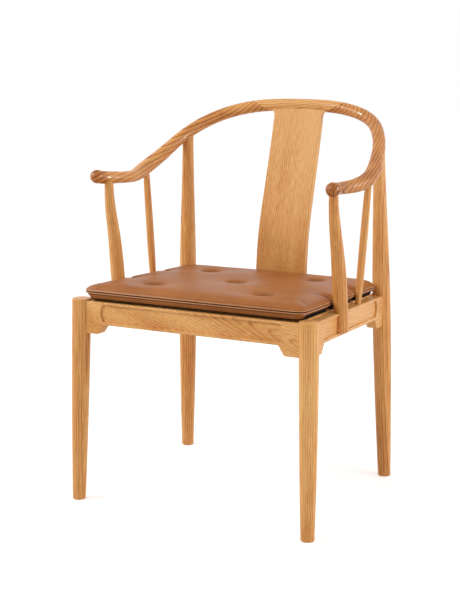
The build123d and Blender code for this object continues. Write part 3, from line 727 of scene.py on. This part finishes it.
class ARMCHAIR_OT_cushion(bpy.types.Operator):
    """Makes the stuffed leather cushion with its tufts, flange and underside"""

    bl_idname = "armchair.cushion"
    bl_label = "Cushion"
    bl_options = {"REGISTER", "UNDO"}

    def execute(self, context):
        shape = context.scene.armchair_cushion
        place = seat_to_world(shape)
        hide = leather("cushion_leather")
        high, low, crown = shape.seam_high, shape.seam_low, shape.crown

        shoulder = [(inset, high + rise) for inset, rise in SHOULDER]
        top = new_piece("cushion_top", through_outlines(shape, [*shoulder, (CROWN_INSET, crown)]), [hide])
        stuff(top, shape)
        mark_tufts(top.data, shape)
        top.data.transform(place)
        top.data.polygons.foreach_set("use_smooth", [True] * len(top.data.polygons))
        finer = top.modifiers.new("Finer", "SUBSURF")
        finer.levels = finer.render_levels = 1
        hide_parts("cushion_top_cover")
        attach(top, "cushion")

        rim = [(inset, low + rise) for inset, rise in LOWER_RIM]
        hanging = through_outlines(shape, [(UNDERSIDE_INSET, shape.rest), *UNDERSIDE, *rim])
        sag(hanging, shape)
        cloth = woven("underside_cloth", context.scene.armchair_leather.felt, 0.0006)
        # The band's leather is darkened to 0.85, painted shade under the flange.
        under = new_piece("cushion_bottom", hanging, [leather("band_leather_painted_shade", 0.85), cloth])
        for face in under.data.polygons:
            face.use_smooth = abs(face.normal.z) < FLAT
            # Black cloth reaches this high: partly the real underside cloth, partly painted shade under the
            # flange.
            hem = CLOTH_AND_SHADE_FRONT if face.center.y < shape.front + shape.front_radius else CLOTH_AND_SHADE_BEHIND
            face.material_index = 1 if face.center.z < hem else 0
        under.data.transform(place)
        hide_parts("cushion_bottom_cover")
        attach(under, "cushion")

        groove_low, groove_high = (high + low - shape.groove) / 2, (high + low + shape.groove) / 2
        for name, start, stop, rise in (
            ("seam_leaf_upper", groove_high, high, 0.0012), ("seam_leaf_lower", low, groove_low, 0.0001),
        ):
            section = leaf_section(start, stop, rise)
            mesh = through_outlines(shape, section, hollow=True, segments=8)
            leaf = new_piece(name, mesh, [hide, raw_leather(f"{name}_edge")])
            for face in leaf.data.polygons:
                face.use_smooth = True
                face.material_index = 1 if abs(face.normal.z) < UPRIGHT else 0
            leaf.data.transform(place)
            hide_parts("cushion_seam_flange")
            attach(leaf, "cushion")

        block = through_outlines(shape, (
            FOAM_FOOT, (FOAM_INSET, low), (FOAM_INSET, high), (FOAM_CROWN_INSET, crown - tuft_room(shape)),
        ))
        core = new_piece("cushion_foam", block, [foam("foam_cells")], place)
        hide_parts("cushion_core")
        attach(core, "cushion")
        return {"FINISHED"}


# ---- Studio ----------------------------------------------------------------------------------------
def soft_lamp(name, place, aim, size, power, tint=WHITE):
    """Round lamp that points from its place to its aim."""
    lamp = bpy.data.lights.new(name, "AREA")
    lamp.shape = "DISK"
    lamp.size = size
    lamp.energy = power
    lamp.color = tint
    holder = bpy.data.objects.new(name, lamp)
    holder.location = place
    holder.rotation_euler = (Vector(aim) - Vector(place)).to_track_quat("-Z", "Y").to_euler()
    bpy.context.collection.objects.link(holder)
    return holder


def seen_white(tree):
    """Factor that is 1 for what the camera sees directly, in a gloss or through glass."""
    path = add(tree, "LightPath").outputs
    seen = maths(tree, "MAXIMUM", path["Is Camera Ray"], path["Is Glossy Ray"])
    return maths(tree, "MAXIMUM", seen, path["Is Transmission Ray"])


class ARMCHAIR_OT_studio(bpy.types.Operator):
    """Sets the pale floor, the soft lamps, the sky and the camera"""

    bl_idname = "armchair.studio"
    bl_label = "Studio"
    bl_options = {"REGISTER", "UNDO"}

    def execute(self, context):
        scene = context.scene
        studio = scene.armchair_studio
        mesh = bmesh.new()
        bmesh.ops.create_circle(mesh, cap_ends=True, segments=96, radius=FLOOR_RADIUS)
        data = bpy.data.meshes.new("studio_floor")
        mesh.to_mesh(data)
        mesh.free()
        floor = bpy.data.objects.new("studio_floor", data)
        context.collection.objects.link(floor)
        material, tree, surface = finish_of("studio_floor")
        surface.inputs["Base Color"].default_value = (*studio.floor, 1)
        surface.inputs["Roughness"].default_value = 0.9
        surface.inputs["Specular IOR Level"].default_value = 0.1
        strength = maths(tree, "MULTIPLY", seen_white(tree), studio.floor_glow)
        glow = add(tree, "Emission", {"Strength": strength})
        both = add(tree, "AddShader", {0: surface.outputs[0], 1: glow.outputs[0]})
        out = next(n for n in tree.nodes if n.type == "OUTPUT_MATERIAL")
        tree.links.new(both.outputs[0], out.inputs["Surface"])
        data.materials.append(material)

        soft_lamp("key_lamp", (-2.4, -1.9, 2.6), SEAT_AIM, 1.5, studio.key_power, (1.0, 0.98, 0.95))
        fill = soft_lamp("fill_lamp", (3.0, 0.2, 1.5), SEAT_AIM, 2.2, studio.fill_power, (1.0, 0.97, 0.94))
        fill.visible_glossy = False
        for name, place in GLINT_PLACES.items():
            glint = soft_lamp(name, place, ARM_AIM, GLINT_SIZE, studio.glint_power)
            glint.visible_diffuse = False

        world = bpy.data.worlds.new("studio_sky")
        scene.world = world
        world.use_nodes = True
        tree = world.node_tree
        tree.nodes.clear()
        direction = add(tree, "TexCoord").outputs["Generated"]
        heading = add(tree, "SeparateXYZ", {"Vector": direction}).outputs["Y"]
        strength = add(
            tree, "MapRange",
            {"Value": heading, "From Min": -1, "From Max": 1, "To Min": studio.sky_front,
             "To Max": studio.sky_back},
        ).outputs[0]
        strength = maths(tree, "MAXIMUM", strength, seen_white(tree))
        sky = add(tree, "Background", {"Color": (*WHITE, 1), "Strength": strength})
        add(tree, "OutputWorld", {"Surface": sky.outputs[0]})

        lens = bpy.data.cameras.new("camera")
        lens.lens = studio.camera_lens
        lens.sensor_width = 36
        camera = bpy.data.objects.new("camera", lens)
        camera.location = studio.camera_place
        camera.rotation_euler = (radians(90) - studio.camera_pitch, 0, studio.camera_yaw)
        context.collection.objects.link(camera)
        scene.camera = camera
        scene.view_settings.view_transform = "Standard"
        return {"FINISHED"}


# ---- Panel and registration ------------------------------------------------------------------------
STEPS = (
    ARMCHAIR_OT_studio, ARMCHAIR_OT_legs, ARMCHAIR_OT_aprons, ARMCHAIR_OT_supports, ARMCHAIR_OT_rail,
    ARMCHAIR_OT_splat, ARMCHAIR_OT_inside, ARMCHAIR_OT_cushion,
)
SETTINGS = {
    "armchair_wood": ArmchairWood,
    "armchair_leather": ArmchairLeather,
    "armchair_cushion": ArmchairCushion,
    "armchair_studio": ArmchairStudio,
}


class VIEW3D_PT_armchair(bpy.types.Panel):
    """Sizes, colours and steps of the armchair"""

    bl_label = "Armchair"
    bl_idname = "VIEW3D_PT_armchair"
    bl_space_type = "VIEW_3D"
    bl_region_type = "UI"
    bl_category = "Armchair"

    def draw(self, context):
        for name, group in SETTINGS.items():
            column = self.layout.column(heading=group.__doc__)
            for key in group.__annotations__:
                column.prop(getattr(context.scene, name), key)
        for step in STEPS:
            self.layout.operator(step.bl_idname)


def register():
    for group in SETTINGS.values():
        bpy.utils.register_class(group)
    for step in STEPS:
        bpy.utils.register_class(step)
    bpy.utils.register_class(VIEW3D_PT_armchair)
    for name, group in SETTINGS.items():
        setattr(bpy.types.Scene, name, PointerProperty(type=group))


def unregister():
    for name in SETTINGS:
        delattr(bpy.types.Scene, name)
    bpy.utils.unregister_class(VIEW3D_PT_armchair)
    for step in reversed(STEPS):
        bpy.utils.unregister_class(step)
    for group in SETTINGS.values():
        bpy.utils.unregister_class(group)


def main():
    register()
    for step in STEPS:
        group, _, call = step.bl_idname.partition(".")
        getattr(getattr(bpy.ops, group), call)()


if __name__ == "__main__":
    main()
